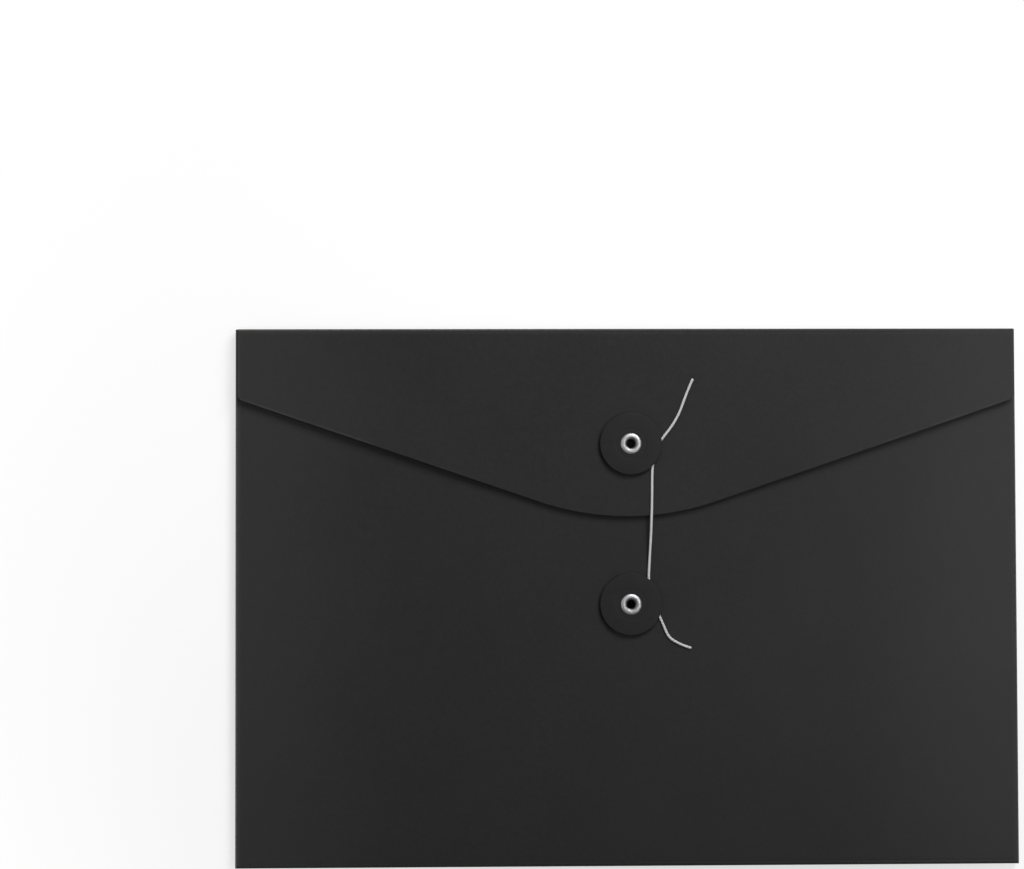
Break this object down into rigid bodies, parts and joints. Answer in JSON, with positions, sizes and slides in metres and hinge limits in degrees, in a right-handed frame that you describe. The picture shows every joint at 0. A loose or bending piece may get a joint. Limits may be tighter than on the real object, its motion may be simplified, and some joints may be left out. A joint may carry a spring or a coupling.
{
  "type": "document folder",
  "caption": "Flat pocket folder of folded black card with a pointed flap that hinges on a top spine, closed by white string tucked under two riveted discs.",
  "frame": {"origin": "middle of the back face, which lies on the table", "axes": "+X along the top fold to the right, +Y up the folder to the top fold, +Z out of the front"},
  "size_m": [0.33, 0.226, 0.0118],
  "materials": {
    "card": "matte",
    "fibre": "matte",
    "eyelet_metal": "satin",
    "cotton_string": "matte"
  },
  "bodies": {
    "pocket": {"back_panel": "card", "bottom_spine": "card", "front_panel": "card", "left_side_wall": "card", "right_side_wall": "card", "left_glue_tab": "card", "right_glue_tab": "card", "lower_spacer_ring": "fibre", "lower_eyelet": "eyelet_metal", "lower_eyelet_washer": "eyelet_metal", "string": "cotton_string"},
    "top_spine": {"top_spine": "card"},
    "flap": {"flap": "card", "upper_spacer_ring": "fibre", "upper_eyelet": "eyelet_metal", "upper_eyelet_washer": "eyelet_metal"},
    "upper_button": {"upper_button_disc": "fibre"},
    "lower_button": {"lower_button_disc": "fibre"}
  },
  "joints": [
    {"name": "spine_fold", "type": "hinge", "parent": "pocket", "child": "top_spine", "pos_m": [0, 0.1122, 0.0008], "axis": [-1, 0, 0], "range_deg": [0, 90], "deforming": ["string"]},
    {"name": "flap_fold", "type": "hinge", "parent": "top_spine", "child": "flap", "pos_m": [0, 0.1122, 0.0079], "axis": [-1, 0, 0], "range_deg": [0, 85], "deforming": ["string"]},
    {"name": "upper_button_spin", "type": "hinge", "parent": "flap", "child": "upper_button", "pos_m": [0.00125, 0.0645, 0.01065], "axis": [0, 0, 1], "continuous": true},
    {"name": "lower_button_spin", "type": "hinge", "parent": "pocket", "child": "lower_button", "pos_m": [0.00125, -0.003, 0.00795], "axis": [0, 0, 1], "continuous": true}
  ]
}
